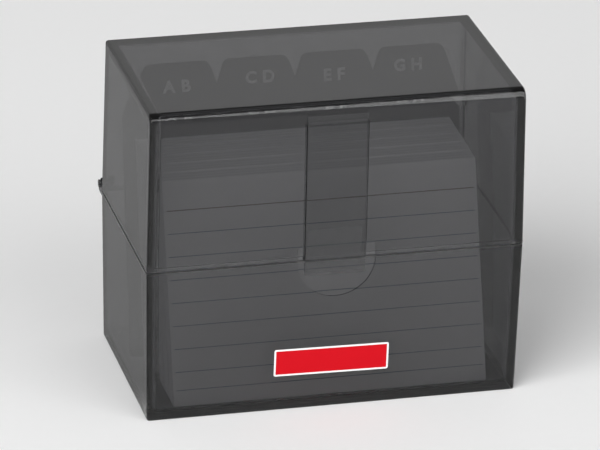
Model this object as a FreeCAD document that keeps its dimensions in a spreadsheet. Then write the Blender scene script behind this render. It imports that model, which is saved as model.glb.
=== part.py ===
"""Index card box for A7 landscape cards: a smoked tray with a hinged smoked lid,
a file of ruled cards and a set of tabbed letter dividers.

Frame: millimetres, X to the right, Y to the back, Z up.  The origin is the centre
of the tray's underside.
"""
import FreeCAD, Part
import math
import os

import Sketcher

SIZES = [
    # name, value, what it is
    ("card_width", 105, "A7 landscape"),
    ("card_height", 74, "A7 landscape"),
    ("card_thickness", 0.23, "ruled card"),
    ("side_room", 8, "card edge to the side wall"),
    ("box_depth", 70, "outer depth at the seam"),
    ("tray_height", 52.5, "underside to the seam"),
    ("lid_height", 53.6, "lid rim to the top face"),
    ("seam_gap", 0.1, "air between the two rims"),
    ("wall", 2, "side wall"),
    ("floor", 2, "tray floor"),
    ("roof", 2, "lid top"),
    ("draft_angle", 0.8, "mould draft of the walls, degrees"),
    ("edge_radius", 1, "outer edges"),
    ("brow_radius", 3.5, "front top edge of the lid"),
    ("base_edge_radius", 0.7, "edge round the underside"),
    ("rim_edge_radius", 0.3, "outer edges of the two rims at the seam"),
    ("inner_radius", 2.5, "inner corners and inner edges of floor and roof"),
    ("lip_height", 1.2, "locating lip above the seam"),
    ("lip_thickness", 0.5, "locating lip"),
    ("lip_step", 0.1, "lip behind the inner face of the wall"),
    ("lip_clearance", 0.15, "lip to the lid's rebate"),
    ("dish_radius", 13, "half-round thumb dish under the tongue"),
    ("dish_depth", 0.5, "thumb dish"),
    ("dish_rise", 5.5, "thumb dish above the seam"),
    ("dish_corner", 2, "upper corners of the dish"),
    ("tongue_width", 20, "closing tongue"),
    ("tongue_offset", -0.6, "centre of the tongue"),
    ("tongue_drop", 5, "tongue below the seam"),
    ("tongue_proud", 0.5, "tongue in front of the lid's face"),
    ("tongue_fade", 3, "slope that brings the tongue up to its height"),
    ("tongue_edge_radius", 0.3, "outer edges of the tongue"),
    ("groove_width", 0.4, "groove beside the tongue"),
    ("groove_depth", 0.5, "groove beside the tongue"),
    ("tongue_clearance", 0.15, "tongue to the dish"),
    ("pocket_margin", 1, "thinned panel inside the tongue's sides"),
    ("pocket_rise", 10.5, "thinned panel above the seam"),
    ("pocket_depth", 0.2, "thinned panel"),
    ("pocket_corner", 1.5, "upper corners of the thinned panel"),
    ("tongue_root", 1.6, "foot of the tongue's root above the rim"),
    ("pin_setback", 5, "hinge pin behind the back face"),
    ("pin_rise", 0.2, "hinge pin above the seam"),
    ("pin_radius", 1.3, "hinge pin"),
    ("pin_clearance", 0.05, "pin to hook, radial"),
    ("pin_proud", 0.4, "pin end beyond the hook's outer face"),
    ("hook_radius", 3, "outside of the hook"),
    ("hook_width", 2.6, "hook along the hinge line"),
    ("hook_inset", 0.5, "hook inside the side face"),
    ("hook_shelf", 0.5, "top of the hook's foot below the pin"),
    ("mouth_low_angle", -10, "back edge of the hook's mouth, degrees"),
    ("mouth_high_angle", 120, "front edge of the hook's mouth, degrees"),
    ("ear_gap", 0.2, "lid ear beside the hook"),
    ("ear_width", 2.4, "lid ear along the hinge line"),
    ("ear_radius", 2.4, "lid ear round the pin"),
    ("ear_rise", 5, "top of the lid ear above the rim"),
    ("ear_root", 0.4, "underside of the lid ear above the rim"),
    ("ear_shelf", 0.8, "level part of the ear's underside behind the wall"),
    ("label_width", 38.3, "front label"),
    ("label_height", 9.5, "front label"),
    ("label_thickness", 0.12, "front label"),
    ("label_corner", 0.6, "front label"),
    ("label_tilt_angle", 0.8, "label turned clockwise on the face, degrees"),
    ("label_x", -0.8, "centre of the label"),
    ("label_z", 16.8, "centre of the label above the table"),
    ("file_x", 0.6, "centre of the card file"),
    ("stand_gap", 0.05, "card edges above the floor"),
    ("front_room", 2.395, "foot of the front card to the front wall"),
    ("back_room", 18.875, "foot of the last divider to the back wall"),
    ("front_lean_angle", 17.5, "lean of the front bundle, degrees"),
    ("bundle_angle_step", 1.1, "each bundle stands this much steeper, degrees"),
    ("bundle_gap", 1.46, "extra air between bundles at the floor"),
    ("divider_gap", 2.83, "first divider behind the last card"),
    ("divider_overhang", 3.7, "divider beyond the card's edge"),
    ("tab_headroom", 8.15, "tab to the lid's ceiling"),
    ("tab_height", 15.1, "tab above the divider's shoulder"),
    ("divider_thickness", 0.18, "divider"),
    ("divider_pitch", 0.27, "divider to divider along the floor"),
    ("divider_lean_angle", 11.2, "lean of the first divider, degrees"),
    ("divider_angle_step", 0.01, "each divider stands this much steeper, degrees"),
    ("tab_width", 21.2, "top of a tab"),
    ("tab_pitch", 26.6, "tab to tab"),
    ("tab_shift", 0.85, "middle of the tabs beside the divider's middle"),
    ("tab_slant", 5, "run of a tab's sloping side"),
    ("tab_corner", 2.6, "corners of a tab"),
]
BUNDLE_CARDS = [19, 20, 20, 20, 20]
TAB_COLUMNS = 4
LETTERS = ["ab", "cd", "ef", "gh", "ij", "kl", "mn", "op", "qr", "st", "uv", "wz"]
SHEET = "sizes"


class Dim:
    """A length or angle: its number, and the sheet expression that gives it."""

    def __init__(self, number, text):
        self.number = number
        self.text = text

    def __add__(self, other):
        other = dim(other)
        return Dim(self.number + other.number, f"({self.text} + {other.text})")

    def __sub__(self, other):
        other = dim(other)
        return Dim(self.number - other.number, f"({self.text} - {other.text})")

    def __mul__(self, other):
        other = dim(other)
        return Dim(self.number * other.number, f"({self.text} * {other.text})")

    def __truediv__(self, other):
        other = dim(other)
        return Dim(self.number / other.number, f"({self.text} / {other.text})")

    def __neg__(self):
        return Dim(-self.number, f"(-1 * {self.text})")


def dim(value):
    """A plain number as a Dim."""
    return value if isinstance(value, Dim) else Dim(float(value), f"{float(value):g}")


def sine(angle):
    """Sine of an angle in degrees."""
    return Dim(math.sin(math.radians(angle.number)), f"sin({angle.text})")


def cosine(angle):
    """Cosine of an angle in degrees."""
    return Dim(math.cos(math.radians(angle.number)), f"cos({angle.text})")


def tangent(angle):
    """Tangent of an angle in degrees."""
    return Dim(math.tan(math.radians(angle.number)), f"tan({angle.text})")


class Sizes:
    """The driving sizes, one attribute for each alias in the sheet."""


# ---------------------------------------------------------------- document
doc = FreeCAD.newDocument("index_card_box")
sheet = doc.addObject("Spreadsheet::Sheet", SHEET)
size = Sizes()
for row, (alias, number, meaning) in enumerate(SIZES, 1):
    sheet.set(f"A{row}", alias)
    sheet.set(f"B{row}", str(number))
    sheet.set(f"C{row}", meaning)
    sheet.setAlias(f"B{row}", alias)
    setattr(size, alias, Dim(float(number), f"{SHEET}.{alias}"))
doc.recompute()

# places that several pieces share
slope = tangent(size.draft_angle)
seam = size.tray_height
rim = size.tray_height + size.seam_gap
inner_width = size.card_width + size.side_room * 2
inner_depth = size.box_depth - size.wall * 2
box_width = inner_width + size.wall * 2
half_width = box_width / 2
half_depth = size.box_depth / 2
floor_depth = inner_depth - (seam - size.floor) * slope * 2
lip_inset = size.wall - size.lip_step - size.lip_thickness
pin_y = half_depth + size.pin_setback
pin_z = seam + size.pin_rise
lip_radius = size.inner_radius + size.lip_step
hook_outer = half_width - size.hook_inset
hook_inner = hook_outer - size.hook_width
ear_outer = hook_inner - size.ear_gap
MARGIN = 1.0                                   # how far a feature reaches into its wall
TOUCH = 0.05                                   # how near counts as the same place


# ---------------------------------------------------------------- drawing helpers
def bind(thing, **values):
    """Tie properties of an object to sizes."""
    for name, value in values.items():
        thing.setExpression(name, dim(value).text)


def new_body(name):
    """An empty PartDesign body."""
    body = doc.addObject("PartDesign::Body", name)
    body.Label = name
    return body


def sketch_on(body, name, role, offset):
    """An empty sketch on one of the body's origin planes, moved along its normal."""
    sketch = body.newObject("Sketcher::SketchObject", name)
    plane = [f for f in body.Origin.OriginFeatures if f.Role == role][0]
    offset = dim(offset)
    sketch.AttachmentSupport = [(plane, "")]
    sketch.MapMode = "FlatFace"
    sketch.AttachmentOffset = FreeCAD.Placement(FreeCAD.Vector(0, 0, offset.number), FreeCAD.Rotation())
    sketch.setExpression(".AttachmentOffset.Base.z", offset.text)
    return sketch


def fix_point(sketch, geometry, point, place):
    """Hold a sketch point at a place measured from the sketch's origin."""
    for kind, value in zip(("DistanceX", "DistanceY"), place):
        index = sketch.addConstraint(Sketcher.Constraint(kind, -1, 1, geometry, point, value.number))
        sketch.setExpression(f"Constraints[{index}]", value.text)


def polygon(body, name, role, offset, corners):
    """A closed outline with straight sides."""
    sketch = sketch_on(body, name, role, offset)
    places = [(dim(x), dim(y)) for x, y in corners]
    ends = [FreeCAD.Vector(x.number, y.number, 0) for x, y in places]
    for index, start in enumerate(ends):
        sketch.addGeometry(Part.LineSegment(start, ends[(index + 1) % len(ends)]))
    for index in range(len(ends)):
        sketch.addConstraint(Sketcher.Constraint("Coincident", index, 2, (index + 1) % len(ends), 1))
    for index, place in enumerate(places):
        fix_point(sketch, index, 1, place)
    return sketch


def rectangle(body, name, role, offset, width, depth, centre=(0, 0)):
    """A rectangle about a centre."""
    x, y = dim(centre[0]), dim(centre[1])
    half_x, half_y = dim(width) / 2, dim(depth) / 2
    corners = [(x - half_x, y - half_y), (x + half_x, y - half_y),
               (x + half_x, y + half_y), (x - half_x, y + half_y)]
    return polygon(body, name, role, offset, corners)


def rounded_rectangle(sketch, width, depth, radius):
    """Draw a rectangle about the sketch's origin with four equal round corners."""
    first = sketch.GeometryCount
    reach_x, reach_y = dim(width) / 2 - radius, dim(depth) / 2 - radius
    corners = [(reach_x, reach_y), (-reach_x, reach_y), (-reach_x, -reach_y), (reach_x, -reach_y)]
    upwards = FreeCAD.Vector(0, 0, 1)
    for turn, (x, y) in enumerate(corners):
        centre = FreeCAD.Vector(x.number, y.number, 0)
        circle = Part.Circle(centre, upwards, radius.number)
        sketch.addGeometry(Part.ArcOfCircle(circle, turn * math.pi / 2, (turn + 1) * math.pi / 2))
    for turn in range(4):
        leaves = sketch.getPoint(first + turn, 2)
        arrives = sketch.getPoint(first + (turn + 1) % 4, 1)
        sketch.addGeometry(Part.LineSegment(leaves, arrives))
    for turn, place in enumerate(corners):
        arc, side, next_arc = first + turn, first + turn + 4, first + (turn + 1) % 4
        sketch.addConstraint(Sketcher.Constraint("Tangent", arc, 2, side, 1))
        sketch.addConstraint(Sketcher.Constraint("Tangent", side, 2, next_arc, 1))
        fix_point(sketch, arc, 3, place)
        index = sketch.addConstraint(Sketcher.Constraint("Radius", arc, radius.number))
        sketch.setExpression(f"Constraints[{index}]", radius.text)


def disc(body, name, role, offset, centre, radius):
    """A circle."""
    sketch = sketch_on(body, name, role, offset)
    x, y = dim(centre[0]), dim(centre[1])
    middle = FreeCAD.Vector(x.number, y.number, 0)
    sketch.addGeometry(Part.Circle(middle, FreeCAD.Vector(0, 0, 1), radius.number))
    fix_point(sketch, 0, 3, (x, y))
    index = sketch.addConstraint(Sketcher.Constraint("Radius", 0, radius.number))
    sketch.setExpression(f"Constraints[{index}]", radius.text)
    return sketch


def frustum(body, kind, name, levels, widths, depths):
    """An upright block with sloping flat sides, added or subtracted."""
    feature = body.newObject(f"PartDesign::{kind}Wedge", name)
    feature.Placement = FreeCAD.Placement(FreeCAD.Vector(), FreeCAD.Rotation(FreeCAD.Vector(1, 0, 0), 90))
    halves = [dim(value) / 2 for value in widths + depths]
    bind(feature, Ymin=levels[0], Ymax=levels[1])
    bind(feature, Xmin=-halves[0], Xmax=halves[0], X2min=-halves[1], X2max=halves[1])
    bind(feature, Zmin=-halves[2], Zmax=halves[2], Z2min=-halves[3], Z2max=halves[3])
    doc.recompute()
    return feature


def pad(body, name, sketch, length, backwards=False, midplane=False):
    """Material added from a sketch."""
    feature = body.newObject("PartDesign::Pad", name)
    feature.Profile = sketch
    feature.Reversed = backwards
    feature.Midplane = midplane
    bind(feature, Length=length)
    doc.recompute()
    return feature


def pocket(body, name, sketch, length, backwards=False):
    """Material cut away from a sketch; a cut that removes nothing is an error."""
    before = body.Shape.Volume
    feature = body.newObject("PartDesign::Pocket", name)
    feature.Profile = sketch
    feature.Reversed = backwards
    bind(feature, Length=length)
    doc.recompute()
    if not feature.Shape.Volume < before:
        raise RuntimeError(f"{name} cuts nothing")
    return feature


def rounded(body, name, radius, chosen):
    """A fillet on the edges of the body that a test chooses."""
    base = body.Tip
    names = [f"Edge{n}" for n, edge in enumerate(base.Shape.Edges, 1) if chosen(edge)]
    if not names:
        raise RuntimeError(f"{name} finds no edge")
    feature = body.newObject("PartDesign::Fillet", name)
    feature.Base = (base, names)
    bind(feature, Radius=radius)
    doc.recompute()
    return feature


def mirrored(body, name, features):
    """The same features on the other side of the middle plane."""
    feature = body.newObject("PartDesign::Mirrored", name)
    feature.Originals = features
    plane = [f for f in body.Origin.OriginFeatures if f.Role == "YZ_Plane"][0]
    feature.MirrorPlane = (plane, [""])
    body.Tip = feature
    doc.recompute()
    return feature


# ---------------------------------------------------------------- choosing edges
def middle(edge):
    """The point half way along an edge."""
    return edge.valueAt((edge.FirstParameter + edge.LastParameter) / 2)


def span(edge):
    """How far an edge reaches along each axis."""
    box = edge.BoundBox
    return box.XLength, box.YLength, box.ZLength


def upright(edge):
    """True for an edge that runs mostly up, whatever its draft."""
    x, y, z = span(edge)
    return z > 5 * max(x, y)


def inwards(edge):
    """True for an edge that runs straight from front to back."""
    x, y, z = span(edge)
    return y > 5 * max(x, z)


def inside(edge):
    """True for an edge within the inner faces of the walls."""
    point = middle(edge)
    return abs(point.x) < inner_width.number / 2 + TOUCH and abs(point.y) < inner_depth.number / 2 + TOUCH


def level_at(edge, height):
    """True for an edge that lies in one level plane."""
    box = edge.BoundBox
    return abs(box.ZMin - height) < TOUCH and abs(box.ZMax - height) < TOUCH


# ---------------------------------------------------------------- hinge
def hook_features(body):
    """The tray's hinge hook: a foot on the back wall and a ring open to the top."""
    start = hook_inner
    foot_corners = [
        (half_depth - MARGIN, pin_z - size.hook_radius),
        (pin_y, pin_z - size.hook_radius),
        (pin_y, pin_z - size.hook_shelf),
        (half_depth - MARGIN, pin_z - size.hook_shelf),
    ]
    foot = pad(body, "hook_foot", polygon(body, "hook_foot_outline", "YZ_Plane", start, foot_corners),
               size.hook_width)
    ring = pad(body, "hook_ring", disc(body, "hook_ring_outline", "YZ_Plane", start, (pin_y, pin_z),
               size.hook_radius), size.hook_width)
    bore_radius = size.pin_radius + size.pin_clearance
    bore = pocket(body, "hook_bore", disc(body, "hook_bore_outline", "YZ_Plane", start, (pin_y, pin_z),
                  bore_radius), size.hook_width, backwards=True)
    reach = size.hook_radius * 2
    peak = size.hook_radius * 3
    middle_angle = (size.mouth_low_angle + size.mouth_high_angle) / 2
    mouth_corners = [
        (pin_y, pin_z),
        (pin_y + reach * cosine(size.mouth_low_angle), pin_z + reach * sine(size.mouth_low_angle)),
        (pin_y + peak * cosine(middle_angle), pin_z + peak * sine(middle_angle)),
        (pin_y + reach * cosine(size.mouth_high_angle), pin_z + reach * sine(size.mouth_high_angle)),
    ]
    mouth = pocket(body, "hook_mouth", polygon(body, "hook_mouth_outline", "YZ_Plane", start,
                   mouth_corners), size.hook_width, backwards=True)
    mirrored(body, "hooks", [foot, ring, bore, mouth])


def ear_features(body):
    """The lid's hinge ear: a gusset down the back wall, with a pin that points outwards."""
    start = ear_outer - size.ear_width
    diagonal = size.ear_radius * cosine(dim(45))
    gusset_corners = [
        (half_depth - MARGIN, rim + size.ear_rise),
        (half_depth - MARGIN, rim + size.ear_root),
        (half_depth + size.ear_shelf, rim + size.ear_root),
        (pin_y - diagonal, pin_z - diagonal),
        (pin_y + diagonal, pin_z + diagonal),
        (half_depth, rim + size.ear_rise),
    ]
    gusset = pad(body, "ear_gusset", polygon(body, "ear_gusset_outline", "YZ_Plane", start,
                 gusset_corners), size.ear_width)
    knuckle = pad(body, "ear_knuckle", disc(body, "ear_knuckle_outline", "YZ_Plane", start,
                  (pin_y, pin_z), size.ear_radius), size.ear_width)
    pin_length = size.ear_width + size.ear_gap + size.hook_width + size.pin_proud
    pin = pad(body, "hinge_pin", disc(body, "hinge_pin_outline", "YZ_Plane", start, (pin_y, pin_z),
              size.pin_radius), pin_length)
    mirrored(body, "ears", [gusset, knuckle, pin])


# ---------------------------------------------------------------- tray
def make_tray():
    """The lower half: drafted walls, a locating lip, a thumb dish and two hinge hooks."""
    body = new_body("base_tray")
    foot_inset = size.tray_height * slope
    foot_width = box_width - foot_inset * 2
    foot_depth = size.box_depth - foot_inset * 2
    frustum(body, "Additive", "tray_block", [dim(0), seam], [foot_width, box_width],
            [foot_depth, size.box_depth])
    rounded(body, "tray_corners", size.edge_radius, upright)
    rounded(body, "tray_foot_edge", size.base_edge_radius, lambda e: level_at(e, 0))
    rounded(body, "tray_rim_edge", size.rim_edge_radius, lambda e: level_at(e, seam.number))

    floor_width = inner_width - (seam - size.floor) * slope * 2
    frustum(body, "Subtractive", "tray_cavity", [size.floor, seam],
            [floor_width, inner_width], [floor_depth, inner_depth])
    rounded(body, "tray_inside", size.inner_radius,
            lambda e: level_at(e, size.floor.number) or upright(e) and inside(e))

    lip_outline = sketch_on(body, "lip_outline", "XY_Plane", seam)
    rounded_rectangle(lip_outline, box_width - lip_inset * 2, size.box_depth - lip_inset * 2,
                      lip_radius + size.lip_thickness)
    rounded_rectangle(lip_outline, inner_width + size.lip_step * 2, inner_depth + size.lip_step * 2,
                      lip_radius)
    pad(body, "lip", lip_outline, size.lip_height)

    pocket(body, "thumb_dish", disc(body, "dish_outline", "XZ_Plane", half_depth, (0, seam),
           size.dish_radius), size.dish_depth)

    hook_features(body)
    return body


# ---------------------------------------------------------------- lid
def make_lid():
    """The upper half: drafted walls, a rebated rim, the closing tongue and two hinge ears."""
    body = new_body("lid")
    top = rim + size.lid_height
    top_inset = size.lid_height * slope
    frustum(body, "Additive", "lid_block", [rim, top],
            [box_width, box_width - top_inset * 2],
            [size.box_depth, size.box_depth - top_inset * 2])
    rounded(body, "brow", size.brow_radius,
            lambda e: level_at(e, top.number) and middle(e).y < 0 and span(e)[0] > span(e)[1])
    rounded(body, "lid_edges", size.edge_radius,
            lambda e: not level_at(e, rim.number) and (span(e)[0] < span(e)[1] + span(e)[2]
            or middle(e).y > 0))
    rounded(body, "lid_rim_edge", size.rim_edge_radius, lambda e: level_at(e, rim.number))

    ceiling = top - size.roof
    ceiling_inset = (size.lid_height - size.roof) * slope + size.wall
    frustum(body, "Subtractive", "lid_cavity", [rim, ceiling],
            [inner_width, box_width - ceiling_inset * 2],
            [inner_depth, size.box_depth - ceiling_inset * 2])
    rounded(body, "lid_inside", size.inner_radius,
            lambda e: level_at(e, ceiling.number) or upright(e) and inside(e))

    rebate_inset = lip_inset - size.lip_clearance
    rebate_height = size.lip_height - size.seam_gap + size.lip_clearance
    rebate_outline = sketch_on(body, "rebate_outline", "XY_Plane", rim)
    rounded_rectangle(rebate_outline, box_width - rebate_inset * 2,
                      size.box_depth - rebate_inset * 2,
                      lip_radius + size.lip_thickness + size.lip_clearance)
    pocket(body, "rim_rebate", rebate_outline, rebate_height, backwards=True)

    dish_middle = rim + size.dish_rise / 2
    pocket(body, "lid_dish", rectangle(body, "lid_dish_outline", "XZ_Plane", half_depth,
           size.dish_radius * 2, size.dish_rise, centre=(0, dish_middle)), size.dish_depth)
    dish_top = (rim + size.dish_rise).number
    rounded(body, "lid_dish_corners", size.dish_corner,
            lambda e: level_at(e, dish_top) and inwards(e) and middle(e).y < 0)

    tongue_top = rim + size.lid_height - size.brow_radius
    tongue_rise = tongue_top - size.tray_height
    face = -half_depth
    skin = face - size.tongue_proud
    inner = face + size.dish_depth - size.tongue_clearance
    tip = seam - size.tongue_drop
    left_side = size.tongue_offset - size.tongue_width / 2
    right_side = size.tongue_offset + size.tongue_width / 2
    groove_top = tongue_rise - size.tongue_fade
    groove_corners = [
        (face - MARGIN, rim + size.dish_rise / 2),
        (face + size.groove_depth, rim + size.dish_rise / 2),
        (face + size.groove_depth + groove_top * slope, tongue_top - size.tongue_fade),
        (face - MARGIN + groove_top * slope, tongue_top - size.tongue_fade),
    ]
    for side, start in (("left", left_side - size.groove_width), ("right", right_side)):
        pocket(body, f"tongue_{side}_groove", polygon(body, f"{side}_groove_outline", "YZ_Plane", start,
               groove_corners), size.groove_width, backwards=True)
    tongue_corners = [
        (face + tongue_rise * slope, tongue_top),
        (skin + (tongue_rise - size.tongue_fade) * slope, tongue_top - size.tongue_fade),
        (skin, rim),
        (skin, tip),
        (inner, tip),
        (inner, rim),
        (face + size.wall - size.pocket_depth * 2, rim + size.tongue_root),
        (face + MARGIN + tongue_rise * slope, tongue_top),
    ]
    pad(body, "tongue", polygon(body, "tongue_outline", "YZ_Plane", size.tongue_offset, tongue_corners),
        size.tongue_width, midplane=True)
    rounded(body, "tongue_edges", size.tongue_edge_radius,
            lambda e: middle(e).y < face.number - TOUCH and (level_at(e, tip.number) and not inwards(e)
            or upright(e)))

    pocket_width = size.tongue_width - size.pocket_margin * 2
    pocket_middle = rim + size.pocket_rise / 2
    inner_face = half_depth - size.wall
    pocket(body, "tongue_pocket", rectangle(body, "tongue_pocket_outline", "XZ_Plane", inner_face,
           pocket_width, size.pocket_rise, centre=(size.tongue_offset, pocket_middle)),
           size.pocket_depth, backwards=True)
    pocket_top = (rim + size.pocket_rise).number
    rounded(body, "tongue_pocket_corners", size.pocket_corner,
            lambda e: level_at(e, pocket_top) and inwards(e) and middle(e).y < 0)
    ear_features(body)
    return body


# ---------------------------------------------------------------- label
def make_label():
    """A thin sticker on the tray's front face."""
    body = new_body("front_label")
    across, rise = cosine(size.label_tilt_angle), sine(size.label_tilt_angle)
    half_x, half_z = size.label_width / 2, size.label_height / 2
    square = [(-half_x, -half_z), (half_x, -half_z), (half_x, half_z), (-half_x, half_z)]
    corners = [(x * across + z * rise, z * across - x * rise) for x, z in square]
    plate = polygon(body, "label_outline", "XZ_Plane", 0, corners)
    pad(body, "label_plate", plate, size.label_thickness)
    rounded(body, "label_corners", size.label_corner, inwards)
    lean = size.draft_angle
    y = -half_depth + (seam - size.label_z) * slope
    place(body, size.label_x, y, size.label_z, lean)
    return body


# ---------------------------------------------------------------- card file
def place(thing, x, y, z, tilt):
    """Stand a piece at a point, turned about X by an angle."""
    middle_point = FreeCAD.Vector(x.number, y.number, z.number)
    turn = FreeCAD.Rotation(FreeCAD.Vector(1, 0, 0), tilt.number)
    thing.Placement = FreeCAD.Placement(middle_point, turn)
    for axis, value in zip("xyz", (x, y, z)):
        thing.setExpression(f"Placement.Base.{axis}", value.text)
    thing.setExpression("Placement.Rotation.Angle", tilt.text)


def stand(thing, x, foot_y, lean, thickness):
    """Stand a leaf on the tray floor by its back lower edge."""
    lift = size.floor + size.stand_gap + thickness * sine(lean)
    place(thing, x, foot_y, lift, -lean)


def make_card(name, foot_y, lean):
    """One ruled card."""
    card = doc.addObject("Part::Box", name)
    card.Label = name
    bind(card, Length=size.card_width, Width=size.card_thickness, Height=size.card_height)
    stand(card, size.file_x - size.card_width / 2, foot_y, lean, size.card_thickness)
    return card


def make_cards():
    """The front card and five bundles, each standing a little steeper than the one before."""
    file_start = size.front_room - floor_depth / 2
    fixed_gaps = size.bundle_gap * (len(BUNDLE_CARDS) - 1) + size.divider_gap
    fixed_gaps = fixed_gaps + size.divider_pitch * (len(LETTERS) - 1)
    card_room = floor_depth - size.front_room - size.back_room - fixed_gaps
    card_pitch = card_room / sum(BUNDLE_CARDS)
    pieces = [make_card("ruled_front_card", file_start, size.front_lean_angle)]
    foot_y = file_start
    for bundle, count in enumerate(BUNDLE_CARDS):
        lean = size.front_lean_angle - size.bundle_angle_step * bundle
        if bundle > 0:
            foot_y = foot_y + size.bundle_gap
        cards = []
        for index in range(count):
            foot_y = foot_y + card_pitch
            cards.append(make_card(f"card_{bundle + 1}_{index + 1}", foot_y, lean))
        stack = doc.addObject("Part::Compound", f"card_bundle_{bundle + 1}")
        stack.Label = f"card_bundle_{bundle + 1}"
        stack.Links = cards
        pieces.append(stack)
    return pieces, foot_y


def make_divider(letters, column, foot_y, lean):
    """One divider: a plate as wide as the file with a tab in one of four places."""
    body = new_body(f"divider_{letters}")
    half = size.card_width / 2 + size.divider_overhang
    inner_height = rim + size.lid_height - size.roof - size.floor
    top = (inner_height - size.tab_headroom) / cosine(size.divider_lean_angle)
    shoulder = top - size.tab_height
    centre = size.tab_shift + size.tab_pitch * (column - (TAB_COLUMNS - 1) / 2)
    half_tab = size.tab_width / 2
    corners = [(-half, 0), (half, 0), (half, shoulder)]
    if column < TAB_COLUMNS - 1:
        corners.append((centre + half_tab + size.tab_slant, shoulder))
    corners.append((centre + half_tab, top))
    corners.append((centre - half_tab, top))
    if column > 0:
        corners.append((centre - half_tab - size.tab_slant, shoulder))
    corners.append((-half, shoulder))
    outline = polygon(body, f"outline_{letters}", "XZ_Plane", -size.divider_thickness, corners)
    pad(body, f"plate_{letters}", outline, size.divider_thickness)
    rounded(body, f"tab_corners_{letters}", size.tab_corner,
            lambda e: level_at(e, top.number) and inwards(e))
    stand(body, size.file_x, foot_y, lean, size.divider_thickness)
    return body


def make_dividers(foot_y):
    """Twelve dividers behind the cards, their tabs stepping across the box."""
    pieces = []
    foot_y = foot_y + size.divider_gap
    for index, letters in enumerate(LETTERS):
        lean = size.divider_lean_angle - size.divider_angle_step * index
        pieces.append(make_divider(letters, index % TAB_COLUMNS, foot_y, lean))
        foot_y = foot_y + size.divider_pitch
    return pieces


# ---------------------------------------------------------------- build and export
def check(pieces):
    """Stop if anything in the document failed or a piece has no sound shape."""
    for thing in doc.Objects:
        if "Invalid" in thing.State or "Error" in thing.State:
            raise RuntimeError(f"{thing.Name} failed: {thing.State}")
    for piece in pieces:
        if piece.Shape.isNull() or not piece.Shape.isValid():
            raise RuntimeError(f"{piece.Label} has no valid shape")


def main():
    """Build every piece and write one STEP file for each."""
    cards, last_foot = make_cards()
    pieces = [make_tray(), make_lid(), make_label()] + cards + make_dividers(last_foot)
    doc.recompute()
    check(pieces)
    os.makedirs("parts", exist_ok=True)
    for piece in pieces:
        piece.Shape.exportStep(f"parts/{piece.Label}.step")
        box = piece.Shape.BoundBox
        print(f"{piece.Label}: {len(piece.Shape.Solids)} solid(s), {piece.Shape.Volume:.1f} mm3, "
              f"Y {box.YMin:.2f}..{box.YMax:.2f}, Z {box.ZMin:.2f}..{box.ZMax:.2f}")


main()
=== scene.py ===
"""Dresses the index card box: smoked clear shells, ruled cards, lettered dividers,
a bare label, and the studio around them.  Lengths are in metres.
"""
import bmesh
import bpy
import math
from bpy.props import FloatProperty, FloatVectorProperty, IntProperty, PointerProperty
from mathutils import Matrix, Vector


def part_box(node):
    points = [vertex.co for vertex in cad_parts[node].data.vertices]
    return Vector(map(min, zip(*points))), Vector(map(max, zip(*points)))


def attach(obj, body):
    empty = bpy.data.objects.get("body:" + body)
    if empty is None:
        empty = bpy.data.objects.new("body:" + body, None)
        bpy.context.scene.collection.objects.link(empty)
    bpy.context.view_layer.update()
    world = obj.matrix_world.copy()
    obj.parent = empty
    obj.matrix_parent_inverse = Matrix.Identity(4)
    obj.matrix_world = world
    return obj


bl_info = {
    "name": "Index Card Box",
    "version": (1, 0, 0),
    "blender": (4, 5, 0),
    "location": "View3D > Sidebar > Card Box",
    "description": "Finishes a smoked clear index card box and its cards, dividers and label",
    "category": "Object",
}

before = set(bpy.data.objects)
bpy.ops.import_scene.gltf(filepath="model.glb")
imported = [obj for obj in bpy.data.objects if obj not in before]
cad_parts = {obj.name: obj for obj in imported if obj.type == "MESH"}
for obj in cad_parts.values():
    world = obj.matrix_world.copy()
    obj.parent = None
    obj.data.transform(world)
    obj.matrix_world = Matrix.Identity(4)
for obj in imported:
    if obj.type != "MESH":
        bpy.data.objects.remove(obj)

SHELLS = ["base_tray", "lid"]
BUNDLES = [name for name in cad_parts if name.startswith("card_bundle_")]
DIVIDERS = [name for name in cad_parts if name.startswith("divider_")]
MM = 0.001

# Fineness of each surface's pattern, in cells per metre.
FINENESS = {"ripple": 38.0, "handling": 55.0, "fibres": 2600.0, "mottle": 120.0, "wander": 900.0,
            "stack": 700.0, "grain": 3200.0, "cloud": 70.0, "cover": 1800.0, "coating": 2400.0,
            "speckle": 300.0}

# Share of the light that the clear shells let through into their shadow.
SHADOW_PASS = (0.95, 0.95, 0.95)
# From this share of the box's half width or half depth outwards, a face is on the outside.
OUTSIDE = 0.985
# Share of the painted edge shade that the fading top of the tongue takes: painted shade that darkens the band
# where the tongue fades into the lid's face.
FADE_PAINTED_SHADE = 0.45
# The header line against a writing line.
HEADER_WEIGHT = 1.2

# How far each printed pair sits off its usual place on the tab: to the right, and up (mm).
PRINT_SHIFT = {"AB": (-0.7, 0.7), "CD": (1.0, 1.8), "EF": (-0.3, 0.7), "GH": (-1.4, 2.1)}
USUAL_SHIFT = (0.0, 1.3)

# Each softbox: its side, where it hangs, where it faces, and which way its edge runs.
SOFTBOXES = {
    "key_softbox": (2.4, (-1.9, -1.6, 2.0), (0.95, 0.8, -0.95), (0.8, -0.95, 0.0)),
    "edge_softbox": (0.508, (0.252, -0.2066, 0.3927), (-0.2419, 0.9637, 0.1127), (0.7828, 0.1252, 0.6096)),
    "fill_softbox": (2.0, (1.05, -1.85, 1.6), (-0.4, 0.7, -0.6), (0.868, 0.496, 0.0)),
}


# ---------------------------------------------------------------- properties
def colour(name, description, default):
    """A colour property."""
    return FloatVectorProperty(name=name, description=description, default=default, subtype="COLOR",
                               size=3, min=0.0, max=1.0)


def length(name, description, default):
    """A length property."""
    return FloatProperty(name=name, description=description, default=default, subtype="DISTANCE",
                         unit="LENGTH", precision=5)


def factor(name, description, default):
    """A number from nought to one."""
    return FloatProperty(name=name, description=description, default=default, subtype="FACTOR",
                         min=0.0, max=1.0)


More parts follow.
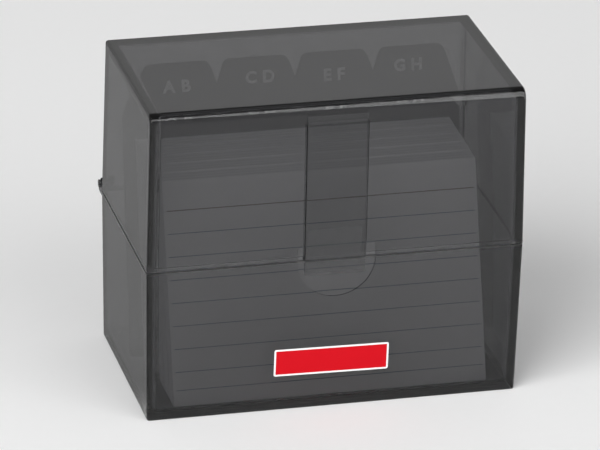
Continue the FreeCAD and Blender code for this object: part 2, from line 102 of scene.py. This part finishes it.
def angle(name, description, degrees):
    """An angle property."""
    return FloatProperty(name=name, description=description, default=math.radians(degrees),
                         subtype="ANGLE", unit="ROTATION")


class ShellSettings(bpy.types.PropertyGroup):
    """Finish of the smoked tray and lid."""

    tint: colour("Tint", "Colour that the smoked plastic lets through best", (0.22, 0.22, 0.235))
    density: FloatProperty(name="Density", description="How quickly light dies out in the plastic, per metre",
                           default=760.0, min=0.0)
    refraction: FloatProperty(name="Refractive index", description="How far the plastic bends light",
                              default=1.5, min=1.0, max=2.0)
    gloss: factor("Roughness", "Roughness of the polished faces", 0.015)
    haze: factor("Haze", "Extra roughness where the faces are handled", 0.05)
    ripple: factor("Ripple", "Strength of the moulding's faint unevenness", 0.004)
    matt: factor("Matt edge", "Roughness of the edges that rub: the tray's rim and the tongue's tip", 0.5)
    # Painted shade: this dark colour is painted on the lid's rim above the seam, in lines beside the tongue,
    # and over the tongue's fading top.
    painted_edge_shade: colour("Edge shade", "Colour of the edges that trap light: the lid's rim and the tongue's sides",
                    (0.22, 0.22, 0.23))
    seam_height: length("Seam", "Height of the line where tray and lid meet", 52.55 * MM)
    edge_line: length("Edge line", "Width of the line that a rounded edge draws", 0.4 * MM)
    tongue_centre: length("Tongue centre", "Middle of the closing tongue, across the box", -0.6 * MM)
    tongue_width: length("Tongue width", "Width of the closing tongue", 20.0 * MM)
    tongue_top: length("Tongue top", "Height at which the tongue has faded into the lid's face", 102.7 * MM)
    tongue_fade: length("Tongue fade", "Height over which the tongue fades", 3.0 * MM)


class CardSettings(bpy.types.PropertyGroup):
    """Paper and ruling of the cards."""

    paper: colour("Paper", "Colour of the card", (0.84, 0.84, 0.83))
    shade: colour("Paper shade", "Colour of the card's darker fibres and edges", (0.72, 0.72, 0.72))
    # Painted shade: the dark colour of the lines between the cards of the stack.
    gap: colour("Gaps", "Colour between the cards of the stack", (0.62, 0.62, 0.63))
    pack_depth: length("Pack depth", "From one dark gap of the stack to the next", 1.95 * MM)
    rule: colour("Ruling", "Colour of the writing lines", (0.23, 0.29, 0.33))
    header: colour("Header line", "Colour of the line under the heading", (0.24, 0.20, 0.17))
    header_drop: length("Header drop", "From the card's top edge to the header line", 9.78 * MM)
    rule_pitch: length("Ruling pitch", "From one writing line to the next", 7.51 * MM)
    rule_count: IntProperty(name="Ruling count", description="Evenly spaced writing lines", default=7,
                            min=1)
    last_drop: length("Last line drop", "From the last even line to the bottom line", 5.95 * MM)
    rule_width: length("Line width", "Thickness of a printed line", 0.3 * MM)
    rule_inset: length("Line inset", "From the card's side edge to the end of a line", 1.0 * MM)


class DividerSettings(bpy.types.PropertyGroup):
    """Sheet and lettering of the dividers."""

    sheet: colour("Sheet", "Colour of the divider sheet", (0.16, 0.16, 0.165))
    fleck: colour("Fleck", "Colour of the sheet's lighter grain", (0.22, 0.22, 0.225))
    ink: colour("Ink", "Colour of the tab letters", (0.95, 0.95, 0.95))
    letter_height: length("Letter height", "Height of a capital", 4.2 * MM)
    letter_gap: length("Letter gap", "Air between the two letters of a tab", 2.1 * MM)
    letter_drop: length("Letter drop", "From the top of the tab to the top of a letter", 5.7 * MM)
    letter_relief: length("Letter relief", "Thickness of the ink", 0.03 * MM)
    letter_weight: factor("Letter weight", "How much bolder the letters are than the plain face", 0.036)


class LabelSettings(bpy.types.PropertyGroup):
    """The front label."""

    field: colour("Field", "Colour of the label", (0.64, 0.002, 0.010))
    border: colour("Border", "Colour of the label's margin", (0.9, 0.9, 0.9))
    border_width: length("Border width", "Width of the label's margin", 0.6 * MM)
    width: length("Width", "Width of the label", 38.3 * MM)
    height: length("Height", "Height of the label", 9.5 * MM)
    tilt: angle("Tilt", "How far the label is turned clockwise on the face", 0.8)


class StageSettings(bpy.types.PropertyGroup):
    """Floor, lights and camera."""

    floor: colour("Floor", "Colour of the floor", (0.96, 0.96, 0.96))
    # Painted shade: these darken the floor's colour behind the box on the left, only as glossy reflections
    # see it.
    painted_shade_level: factor("Flag", "Share of the floor's light that the gloss shows behind the box, on the left",
                       0.5)
    painted_shade_edge: length("Flag edge", "From the floor's middle to the middle of the flag's soft edge", 0.03)
    painted_shade_fade: length("Flag fade", "Width of the flag's soft edge", 0.02)
    floor_size: length("Floor size", "Side of the floor", 12.0)
    ceiling_level: FloatProperty(name="Ceiling", description="Brightness of the studio above the box",
                                 default=0.25, min=0.0)
    wall_level: FloatProperty(name="Walls", description="Brightness of the studio's walls up to their top",
                              default=0.75, min=0.0)
    wall_top: angle("Wall top", "Height of the walls' top above the horizon", 27)
    wall_fade: angle("Wall fade", "Height over which the walls fade into the ceiling", 6)
    key_power: FloatProperty(name="Key light", description="Power of the large softbox, front left",
                             default=84.0, subtype="POWER", unit="POWER")
    fill_power: FloatProperty(name="Fill light", description="Power of the wide softbox, front right",
                              default=21.0, subtype="POWER", unit="POWER")
    edge_power: FloatProperty(name="Edge light", description="Power of the small softbox, front right",
                              default=2.75, subtype="POWER", unit="POWER")
    azimuth: angle("Azimuth", "Camera's bearing round the box", -14.593)
    elevation: angle("Elevation", "Camera's height above the horizon", 23.537)
    roll: angle("Roll", "Camera's turn about its own line of sight", 1.372)
    lens: FloatProperty(name="Lens", description="Focal length", default=294.7, subtype="DISTANCE_CAMERA",
                        unit="CAMERA")
    stand: FloatVectorProperty(name="Stand", description="Where the camera stands", subtype="TRANSLATION",
                               unit="LENGTH", size=3, default=(-0.3754, -1.4289, 0.6929))


# ---------------------------------------------------------------- node helpers
class Graph:
    """Builds the nodes of one material or world."""

    def __init__(self, owner):
        owner.use_nodes = True
        self.tree = owner.node_tree
        self.tree.nodes.clear()

    def add(self, kind, **inputs):
        """A node with its inputs set or linked; spaces in input names are written as underscores."""
        node = self.tree.nodes.new(kind)
        for name, value in inputs.items():
            self.feed(node.inputs[name.replace("_", " ")], value)
        return node

    def feed(self, socket, value):
        """Link a socket, or set its plain value."""
        if isinstance(value, bpy.types.NodeSocket):
            self.tree.links.new(value, socket)
        elif hasattr(value, "__len__") and socket.type == "RGBA" and len(value) == 3:
            socket.default_value = (*value, 1.0)
        else:
            socket.default_value = value

    def math(self, operation, first, second=0.0):
        """The result of a Math node."""
        node = self.tree.nodes.new("ShaderNodeMath")
        node.operation = operation
        self.feed(node.inputs[0], first)
        self.feed(node.inputs[1], second)
        return node.outputs[0]

    def blend(self, factor_socket, first, second):
        """A colour between two colours."""
        node = self.tree.nodes.new("ShaderNodeMix")
        node.data_type = "RGBA"
        self.feed(node.inputs["Factor"], factor_socket)
        self.feed(node.inputs[6], first)
        self.feed(node.inputs[7], second)
        return node.outputs[2]

    def spread(self, value, low, high):
        """A value between nought and one, moved to a new range."""
        return self.math("ADD", self.math("MULTIPLY", value, high - low), low)

    def place(self, centre=(0, 0, 0), turn=(0, 0, 0), stretch=(1, 1, 1)):
        """Object coordinates about a centre, turned and stretched."""
        coordinates = self.add("ShaderNodeTexCoord")
        moved = self.add("ShaderNodeMapping", Vector=coordinates.outputs["Object"])
        moved.inputs["Location"].default_value = [-value for value in centre]
        turned = self.add("ShaderNodeMapping", Vector=moved.outputs[0])
        turned.inputs["Rotation"].default_value = turn
        turned.inputs["Scale"].default_value = stretch
        return turned.outputs[0]

    def noise(self, place, scale, detail=3.0, roughness=0.5):
        """A noise pattern from nought to one."""
        node = self.add("ShaderNodeTexNoise", Vector=place, Scale=scale, Detail=detail,
                        Roughness=roughness)
        return node.outputs["Fac"]

    def bump(self, height, strength, distance):
        """A bump normal."""
        node = self.add("ShaderNodeBump", Height=height, Strength=strength, Distance=distance)
        return node.outputs[0]

    def axes(self, place):
        """The three parts of a vector."""
        return self.add("ShaderNodeSeparateXYZ", Vector=place).outputs

    def stripe(self, value, centre, width):
        """One within a stripe about a centre, nought outside it."""
        offset = self.math("ABSOLUTE", self.math("SUBTRACT", value, centre))
        return self.math("LESS_THAN", offset, width / 2)

    def finish(self, surface, volume=None):
        """Join a surface, and a volume if there is one, to the output."""
        output = self.tree.nodes.new("ShaderNodeOutputMaterial")
        self.tree.links.new(surface, output.inputs["Surface"])
        if volume is not None:
            self.tree.links.new(volume, output.inputs["Volume"])


def new_material(name):
    """An empty material and its graph."""
    material = bpy.data.materials.new(name)
    return material, Graph(material)


def coat(name, material):
    """Give a frame node one material."""
    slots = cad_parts[name].data.materials
    slots.clear()
    slots.append(material)


# ---------------------------------------------------------------- shells
def outer_skin(graph, across, depth):
    """One on the outer faces of the walls, nought on the inner ones."""
    low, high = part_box("base_tray")
    sideways = graph.math("DIVIDE", graph.math("ABSOLUTE", across), high.x)
    lengthways = graph.math("DIVIDE", graph.math("ABSOLUTE", depth), -low.y)
    return graph.math("GREATER_THAN", graph.math("MAXIMUM", sideways, lengthways), OUTSIDE)


def shell_edges(graph, settings):
    """Where painted shade darkens the shells' edges, and where they are rubbed matt."""
    across, depth, rise = graph.axes(graph.place())
    skin = outer_skin(graph, across, depth)
    line = settings.edge_line
    # Painted shade: a dark line along the lid's rim, just above the seam.
    lid_rim_shade = graph.math("MULTIPLY", skin, graph.stripe(rise, settings.seam_height + line / 2, line))
    tray_rim = graph.math("MULTIPLY", skin, graph.stripe(rise, settings.seam_height - line / 2, line))

    front = graph.math("LESS_THAN", depth, 0.0)
    sideways = graph.math("ABSOLUTE", graph.math("SUBTRACT", across, settings.tongue_centre))
    on_tongue = graph.math("MULTIPLY", front, graph.math("LESS_THAN", sideways, settings.tongue_width / 2))
    beside = graph.math("MULTIPLY", front, graph.stripe(sideways, (settings.tongue_width + line) / 2, line))
    fade_foot = settings.tongue_top - settings.tongue_fade
    run = graph.stripe(rise, (settings.seam_height + fade_foot) / 2, fade_foot - settings.seam_height)
    # Painted shade: dark lines beside the tongue, from the seam up to where it fades.
    sides = graph.math("MULTIPLY", beside, run)
    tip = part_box("lid")[0].z + line
    tip_line = graph.math("MULTIPLY", on_tongue, graph.stripe(rise, tip, line))
    # Painted shade over the tongue's fading top, at a share of the full edge shade.
    fade = graph.stripe(rise, settings.tongue_top - settings.tongue_fade / 2, settings.tongue_fade)
    faded = graph.math("MULTIPLY", graph.math("MULTIPLY", on_tongue, fade), FADE_PAINTED_SHADE)

    # The first mask is painted shade; the second only roughens the rubbed edges.
    painted_edge_shade = graph.math("MAXIMUM", graph.math("MAXIMUM", lid_rim_shade, sides), faded)
    return painted_edge_shade, graph.math("MAXIMUM", tray_rim, tip_line)


def smoked_plastic(settings):
    """Polished clear plastic with a neutral smoke tint, and painted shade along some of its edges."""
    material, graph = new_material("smoked_plastic")
    painted_edge_shade, rubbed = shell_edges(graph, settings)
    ripple = graph.noise(graph.place(stretch=(1.0, 1.0, 0.35)), FINENESS["ripple"], detail=1.0)
    handled = graph.noise(graph.place(), FINENESS["handling"], detail=6.0, roughness=0.65)
    patches = graph.math("POWER", handled, 4.0)
    polish = graph.spread(patches, settings.gloss, settings.gloss + settings.haze)
    roughness = graph.math("MAXIMUM", polish, graph.math("MULTIPLY", rubbed, settings.matt))
    # Painted shade: the base colour turns to the edge shade colour on the painted edge lines.
    clear = graph.blend(painted_edge_shade, (1.0, 1.0, 1.0), tuple(settings.painted_edge_shade))
    relief = graph.bump(ripple, settings.ripple, 0.4 * MM)
    plastic = graph.add("ShaderNodeBsdfPrincipled", Roughness=roughness, IOR=settings.refraction,
                        Base_Color=clear, Transmission_Weight=1.0,
                        Normal=relief)
    passing = graph.add("ShaderNodeBsdfTransparent", Color=SHADOW_PASS)
    path = graph.add("ShaderNodeLightPath")
    surface = graph.add("ShaderNodeMixShader", Fac=path.outputs["Is Shadow Ray"])
    graph.feed(surface.inputs[1], plastic.outputs[0])
    graph.feed(surface.inputs[2], passing.outputs[0])
    smoke = graph.add("ShaderNodeVolumeAbsorption", Color=tuple(settings.tint), Density=settings.density)
    graph.finish(surface.outputs[0], smoke.outputs[0])
    return material


class CARDBOX_OT_shells(bpy.types.Operator):
    """Finish the tray and the lid in smoked clear plastic"""

    bl_idname = "cardbox.shells"
    bl_label = "Smoked shells"

    def execute(self, context):
        plastic = smoked_plastic(context.scene.cardbox_shells)
        for name in SHELLS:
            coat(name, plastic)
        return {"FINISHED"}


# ---------------------------------------------------------------- leaves
class Leaf:
    """Where a leaning card or divider stands, read from its frame node."""

    def __init__(self, name):
        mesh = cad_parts[name].data
        front = max((face for face in mesh.polygons if face.normal.y < 0), key=lambda face: face.area)
        self.lean = math.asin(front.normal.z)
        self.up = Vector((0.0, math.sin(self.lean), math.cos(self.lean)))
        low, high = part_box(name)
        self.centre = (low.x + high.x) / 2
        self.width = high.x - low.x
        self.foot = min((v.co for v in mesh.vertices), key=lambda point: point.y).copy()
        heights = [(vertex.co - self.foot).dot(self.up) for vertex in mesh.vertices]
        self.height = max(heights)
        self.foot.x = self.centre
        crown = [v.co.x for v, rise in zip(mesh.vertices, heights) if rise > self.height - 0.1 * MM]
        self.tab_centre = (min(crown) + max(crown)) / 2


def paper_grain(graph, place, settings):
    """Paper colour and relief: soft fibres and a faint mottle."""
    fibres = graph.noise(place, FINENESS["fibres"], detail=2.0)
    mottle = graph.noise(place, FINENESS["mottle"], detail=4.0)
    tone = graph.math("ADD", graph.math("MULTIPLY", fibres, 0.35), graph.math("MULTIPLY", mottle, 0.25))
    return graph.blend(tone, tuple(settings.paper), tuple(settings.shade)), fibres


def ruled_paper(settings):
    """The front card: white paper with a header line and writing lines."""
    leaf = Leaf("ruled_front_card")
    material, graph = new_material("ruled_paper")
    place = graph.place(centre=leaf.foot, turn=(leaf.lean, 0.0, 0.0))
    across, _, height = graph.axes(place)
    paper, fibres = paper_grain(graph, place, settings)

    drift = graph.math("SUBTRACT", graph.noise(place, FINENESS["wander"]), 0.5)
    wander = graph.math("MULTIPLY", drift, 0.06 * MM)
    level = graph.math("ADD", height, wander)
    header_level = leaf.height - settings.header_drop
    steps = graph.math("DIVIDE", graph.math("SUBTRACT", header_level, level), settings.rule_pitch)
    nearest = graph.math("ROUND", steps)
    offset = graph.math("MULTIPLY", graph.math("ABSOLUTE", graph.math("SUBTRACT", steps, nearest)),
                        settings.rule_pitch)
    on_line = graph.math("LESS_THAN", offset, settings.rule_width / 2)
    after_header = graph.math("GREATER_THAN", steps, 0.5)
    before_end = graph.math("LESS_THAN", steps, settings.rule_count + 0.5)
    even = graph.math("MULTIPLY", on_line, graph.math("MULTIPLY", after_header, before_end))
    last_level = header_level - settings.rule_pitch * settings.rule_count - settings.last_drop
    lines = graph.math("ADD", even, graph.stripe(level, last_level, settings.rule_width))
    header = graph.stripe(level, header_level, settings.rule_width * HEADER_WEIGHT)

    within = graph.stripe(across, 0.0, leaf.width - settings.rule_inset * 2)
    ruled = graph.blend(graph.math("MULTIPLY", lines, within), paper, tuple(settings.rule))
    ruled = graph.blend(graph.math("MULTIPLY", header, within), ruled, tuple(settings.header))
    card = graph.add("ShaderNodeBsdfPrincipled", Base_Color=ruled, Roughness=0.75,
                     Normal=graph.bump(fibres, 0.15, 0.02 * MM))
    graph.finish(card.outputs[0])
    return material


def stacked_paper(settings):
    """The cards behind: the same paper, with the uneven tone of a cut stack and painted shade between the
    cards.
    """
    leaf = Leaf("card_bundle_3")
    material, graph = new_material("stacked_paper")
    place = graph.place(centre=leaf.foot, turn=(leaf.lean, 0.0, 0.0))
    _, depth, _ = graph.axes(place)
    paper, fibres = paper_grain(graph, place, settings)
    stack = graph.add("ShaderNodeCombineXYZ", X=0.0, Y=depth, Z=0.0)
    uneven = graph.noise(stack.outputs[0], FINENESS["stack"], detail=2.0, roughness=0.6)
    # Painted shade: dark bands one pack depth apart stand in for the shade between the cards; the noise adds
    # an uneven tone.
    packs = graph.math("SINE", graph.math("MULTIPLY", depth, 2 * math.pi / settings.pack_depth))
    gap = graph.math("POWER", graph.spread(packs, 0.5, 1.0), 5.0)
    gap_shade_and_tone = graph.math("MINIMUM", graph.math("MULTIPLY", graph.math("ADD", gap, uneven), 0.75), 1.0)
    shaded = graph.blend(gap_shade_and_tone, paper, tuple(settings.gap))
    card = graph.add("ShaderNodeBsdfPrincipled", Base_Color=shaded, Roughness=0.8,
                     Normal=graph.bump(fibres, 0.15, 0.02 * MM))
    graph.finish(card.outputs[0])
    return material


class CARDBOX_OT_cards(bpy.types.Operator):
    """Finish the ruled front card and the bundles behind it"""

    bl_idname = "cardbox.cards"
    bl_label = "Cards"

    def execute(self, context):
        settings = context.scene.cardbox_cards
        coat("ruled_front_card", ruled_paper(settings))
        stack = stacked_paper(settings)
        for name in BUNDLES:
            coat(name, stack)
        return {"FINISHED"}


def divider_sheet(settings):
    """Matt dark sheet with a fine grain."""
    material, graph = new_material("divider_sheet")
    place = graph.place()
    grain = graph.noise(place, FINENESS["grain"], detail=2.0)
    cloud = graph.noise(place, FINENESS["cloud"], detail=3.0)
    tone = graph.math("ADD", graph.math("MULTIPLY", grain, 0.6), graph.math("MULTIPLY", cloud, 0.3))
    sheet = graph.add("ShaderNodeBsdfPrincipled",
                      Base_Color=graph.blend(tone, tuple(settings.sheet), tuple(settings.fleck)),
                      Roughness=graph.spread(grain, 0.42, 0.6), Normal=graph.bump(grain, 0.2, 0.02 * MM))
    graph.finish(sheet.outputs[0])
    return material


class CARDBOX_OT_dividers(bpy.types.Operator):
    """Finish the divider sheets"""

    bl_idname = "cardbox.dividers"
    bl_label = "Dividers"

    def execute(self, context):
        sheet = divider_sheet(context.scene.cardbox_dividers)
        for name in DIVIDERS:
            coat(name, sheet)
        return {"FINISHED"}


def letter_ink(settings):
    """Matt light ink with a slightly uneven cover."""
    material, graph = new_material("letter_ink")
    cover = graph.noise(graph.place(), FINENESS["cover"], detail=3.0)
    worn = graph.blend(graph.math("POWER", cover, 3.0), tuple(settings.ink), tuple(settings.fleck))
    ink = graph.add("ShaderNodeBsdfPrincipled", Base_Color=worn, Roughness=0.5,
                    Normal=graph.bump(cover, 0.1, 0.01 * MM))
    graph.finish(ink.outputs[0])
    return material


def glyph(character, height, relief, weight):
    """A mesh of one capital: its left foot at the origin, upright in X and Z, facing -Y."""
    text = bpy.data.curves.new("glyph", "FONT")
    text.body = character
    text.extrude = 0.5
    text.bevel_depth = weight
    text.bevel_resolution = 0
    thickness = 1.0 + 2.0 * weight
    carrier = bpy.data.objects.new("glyph", text)
    bpy.context.collection.objects.link(carrier)
    bpy.context.view_layer.update()
    mesh = bpy.data.meshes.new_from_object(carrier)
    bpy.data.objects.remove(carrier)
    bpy.data.curves.remove(text)
    shape = bmesh.new()
    shape.from_mesh(mesh)
    bpy.data.meshes.remove(mesh)
    xs = [vertex.co.x for vertex in shape.verts]
    ys = [vertex.co.y for vertex in shape.verts]
    scale = height / (max(ys) - min(ys))
    bmesh.ops.translate(shape, verts=shape.verts, vec=(-min(xs), -min(ys), thickness / 2))
    bmesh.ops.scale(shape, verts=shape.verts, vec=(scale, scale, relief / thickness))
    bmesh.ops.rotate(shape, verts=shape.verts, matrix=Matrix.Rotation(math.radians(90), 3, "X"))
    bmesh.ops.remove_doubles(shape, verts=shape.verts, dist=0.001 * MM)
    return shape, (max(xs) - min(xs)) * scale


def tab_letters(name, ink, settings):
    """The pair of letters on a divider's tab, as one piece."""
    leaf = Leaf(name)
    pair = name.split("_")[1].upper()
    aside, lift = PRINT_SHIFT.get(pair, USUAL_SHIFT)
    glyphs = [glyph(character, settings.letter_height, settings.letter_relief, settings.letter_weight)
              for character in pair]
    total = sum(width for _, width in glyphs) + settings.letter_gap
    rise = leaf.height - settings.letter_drop - settings.letter_height + lift * MM
    foot = leaf.foot + leaf.up * rise
    start = leaf.tab_centre - total / 2 + aside * MM
    lean = Matrix.Rotation(-leaf.lean, 4, "X")
    joined = bpy.data.meshes.new(f"letters_{name}")
    whole = bmesh.new()
    for shape, width in glyphs:
        place = Matrix.Translation((start, foot.y, foot.z)) @ lean
        bmesh.ops.transform(shape, matrix=place, verts=shape.verts)
        shape.to_mesh(joined)
        shape.free()
        whole.from_mesh(joined)
        start += width + settings.letter_gap
    bmesh.ops.recalc_face_normals(whole, faces=whole.faces)
    whole.to_mesh(joined)
    whole.free()
    joined.materials.append(ink)
    piece = bpy.data.objects.new(f"letters_{name}", joined)
    bpy.context.collection.objects.link(piece)
    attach(piece, name)


class CARDBOX_OT_letters(bpy.types.Operator):
    """Print a pair of letters on each divider's tab"""

    bl_idname = "cardbox.letters"
    bl_label = "Tab letters"

    def execute(self, context):
        settings = context.scene.cardbox_dividers
        ink = letter_ink(settings)
        for name in DIVIDERS:
            tab_letters(name, ink, settings)
        return {"FINISHED"}


# ---------------------------------------------------------------- label
def label_print(settings):
    """Coated paper with a coloured field inside a light margin."""
    low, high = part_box("front_label")
    material, graph = new_material("label_print")
    place = graph.place(centre=(low + high) / 2, turn=(0.0, -settings.tilt, 0.0))
    across, _, rise = graph.axes(place)
    field = graph.math("MULTIPLY", graph.stripe(across, 0.0, settings.width - settings.border_width * 2),
                       graph.stripe(rise, 0.0, settings.height - settings.border_width * 2))
    grain = graph.noise(place, FINENESS["coating"], detail=2.0)
    deep = tuple(value * 0.86 for value in settings.field)
    red = graph.blend(graph.math("MULTIPLY", grain, 0.5), tuple(settings.field), deep)
    printed = graph.blend(field, tuple(settings.border), red)
    paper = graph.add("ShaderNodeBsdfPrincipled", Base_Color=printed, Specular_IOR_Level=0.12,
                      Roughness=graph.spread(grain, 0.35, 0.5), Normal=graph.bump(grain, 0.1, 0.02 * MM))
    graph.finish(paper.outputs[0])
    return material


class CARDBOX_OT_label(bpy.types.Operator):
    """Finish the bare front label"""

    bl_idname = "cardbox.label"
    bl_label = "Label"

    def execute(self, context):
        coat("front_label", label_print(context.scene.cardbox_label))
        return {"FINISHED"}


# ---------------------------------------------------------------- stage
def studio_floor(settings):
    """A wide pale floor.  Behind the box on the left, painted shade darkens its colour in glossy reflections
    only, keeping its glare out of the gloss of the side.
    """
    mesh = bpy.data.meshes.new("studio_floor")
    shape = bmesh.new()
    bmesh.ops.create_grid(shape, x_segments=1, y_segments=1, size=settings.floor_size / 2)
    shape.to_mesh(mesh)
    shape.free()
    material, graph = new_material("pale_floor")
    speckle = graph.noise(graph.place(), FINENESS["speckle"], detail=3.0)
    soft = tuple(value * 0.985 for value in settings.floor)
    painted_shade_floor = tuple(value * settings.painted_shade_level for value in settings.floor)
    behind, _, _ = graph.axes(graph.place(turn=(0.0, 0.0, math.radians(45))))
    shade = graph.add("ShaderNodeMapRange", Value=behind)
    shade.interpolation_type = "SMOOTHSTEP"
    shade.inputs["From Min"].default_value = -settings.painted_shade_edge - settings.painted_shade_fade / 2
    shade.inputs["From Max"].default_value = -settings.painted_shade_edge + settings.painted_shade_fade / 2
    shade.inputs["To Min"].default_value = 1.0
    shade.inputs["To Max"].default_value = 0.0
    # Painted shade: glossy reflection rays see the floor darker behind the box on the left.
    path = graph.add("ShaderNodeLightPath")
    in_gloss = graph.math("MULTIPLY", path.outputs["Is Glossy Ray"], path.outputs["Is Reflection Ray"])
    pale = graph.blend(graph.math("MULTIPLY", in_gloss, shade.outputs[0]),
                       graph.blend(speckle, tuple(settings.floor), soft), painted_shade_floor)
    paint = graph.add("ShaderNodeBsdfPrincipled", Roughness=0.8, Base_Color=pale)
    paint.inputs["Specular IOR Level"].default_value = 0.2
    graph.finish(paint.outputs[0])
    mesh.materials.append(material)
    floor = bpy.data.objects.new("studio_floor", mesh)
    bpy.context.collection.objects.link(floor)


def studio_world(settings):
    """Bright walls all round the box under a dim ceiling."""
    world = bpy.data.worlds.new("studio")
    bpy.context.scene.world = world
    graph = Graph(world)
    _, _, rise = graph.axes(graph.add("ShaderNodeTexCoord").outputs["Generated"])
    glow = graph.add("ShaderNodeMapRange", Value=rise)
    glow.interpolation_type = "SMOOTHSTEP"
    glow.inputs["From Min"].default_value = math.sin(settings.wall_top)
    glow.inputs["From Max"].default_value = math.sin(settings.wall_top + settings.wall_fade)
    glow.inputs["To Min"].default_value = settings.wall_level
    glow.inputs["To Max"].default_value = settings.ceiling_level
    light = graph.add("ShaderNodeBackground", Strength=glow.outputs[0])
    output = graph.tree.nodes.new("ShaderNodeOutputWorld")
    graph.tree.links.new(light.outputs[0], output.inputs["Surface"])


def softbox(name, power):
    """Hang one of the square lights."""
    size, place, aim, side = SOFTBOXES[name]
    light = bpy.data.lights.new(name, "AREA")
    light.shape = "SQUARE"
    light.size = size
    light.energy = power
    lamp = bpy.data.objects.new(name, light)
    back = -Vector(aim).normalized()
    up = back.cross(Vector(side)).normalized()
    axes = Matrix((up.cross(back), up, back)).transposed()
    lamp.matrix_world = Matrix.Translation(place) @ axes.to_4x4()
    bpy.context.collection.objects.link(lamp)
    return lamp


def studio_camera(settings):
    """The camera, level with neither the box nor the horizon."""
    data = bpy.data.cameras.new("camera")
    data.lens = settings.lens
    camera = bpy.data.objects.new("camera", data)
    back = Vector((math.sin(settings.azimuth) * math.cos(settings.elevation),
                   -math.cos(settings.azimuth) * math.cos(settings.elevation),
                   math.sin(settings.elevation)))
    right = (-back).cross(Vector((0, 0, 1))).normalized()
    up = back.cross(right)
    turn = Matrix.Rotation(settings.roll, 3, back)
    axes = Matrix((turn @ right, turn @ up, back)).transposed()
    camera.matrix_world = Matrix.Translation(settings.stand) @ axes.to_4x4()
    bpy.context.collection.objects.link(camera)
    bpy.context.scene.camera = camera


class CARDBOX_OT_stage(bpy.types.Operator):
    """Lay the floor, hang the lights and stand the camera"""

    bl_idname = "cardbox.stage"
    bl_label = "Stage"

    def execute(self, context):
        settings = context.scene.cardbox_stage
        studio_floor(settings)
        studio_world(settings)
        softbox("key_softbox", settings.key_power)
        edge = softbox("edge_softbox", settings.edge_power)
        edge.visible_diffuse = False
        fill = softbox("fill_softbox", settings.fill_power)
        fill.visible_glossy = False
        fill.visible_transmission = False
        studio_camera(settings)
        context.scene.view_settings.view_transform = "Standard"
        return {"FINISHED"}


# ---------------------------------------------------------------- panel
class CARDBOX_PT_panel(bpy.types.Panel):
    """Sizes, colours and pieces of the card box"""

    bl_idname = "CARDBOX_PT_panel"
    bl_label = "Card Box"
    bl_space_type = "VIEW_3D"
    bl_region_type = "UI"
    bl_category = "Card Box"

    def draw(self, context):
        for group, operators in SECTIONS:
            settings = getattr(context.scene, group)
            box = self.layout.box()
            for name in settings.bl_rna.properties.keys():
                if name not in ("rna_type", "name"):
                    box.prop(settings, name)
            for operator in operators:
                box.operator(operator.bl_idname)


GROUPS = {
    "cardbox_shells": ShellSettings,
    "cardbox_cards": CardSettings,
    "cardbox_dividers": DividerSettings,
    "cardbox_label": LabelSettings,
    "cardbox_stage": StageSettings,
}
SECTIONS = [
    ("cardbox_shells", [CARDBOX_OT_shells]),
    ("cardbox_cards", [CARDBOX_OT_cards]),
    ("cardbox_dividers", [CARDBOX_OT_dividers, CARDBOX_OT_letters]),
    ("cardbox_label", [CARDBOX_OT_label]),
    ("cardbox_stage", [CARDBOX_OT_stage]),
]
OPERATORS = [operator for _, operators in SECTIONS for operator in operators]
CLASSES = [*GROUPS.values(), *OPERATORS, CARDBOX_PT_panel]


def register():
    """Make the settings, pieces and panel known."""
    for cls in CLASSES:
        bpy.utils.register_class(cls)
    for name, group in GROUPS.items():
        setattr(bpy.types.Scene, name, PointerProperty(type=group))


def unregister():
    """Take the settings, pieces and panel away again."""
    for name in GROUPS:
        delattr(bpy.types.Scene, name)
    for cls in reversed(CLASSES):
        bpy.utils.unregister_class(cls)


def main():
    """Dress the frame."""
    register()
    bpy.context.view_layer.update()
    bpy.ops.cardbox.shells()
    bpy.ops.cardbox.cards()
    bpy.ops.cardbox.dividers()
    bpy.ops.cardbox.letters()
    bpy.ops.cardbox.label()
    bpy.ops.cardbox.stage()
    bpy.context.view_layer.update()


if __name__ == "__main__":
    main()
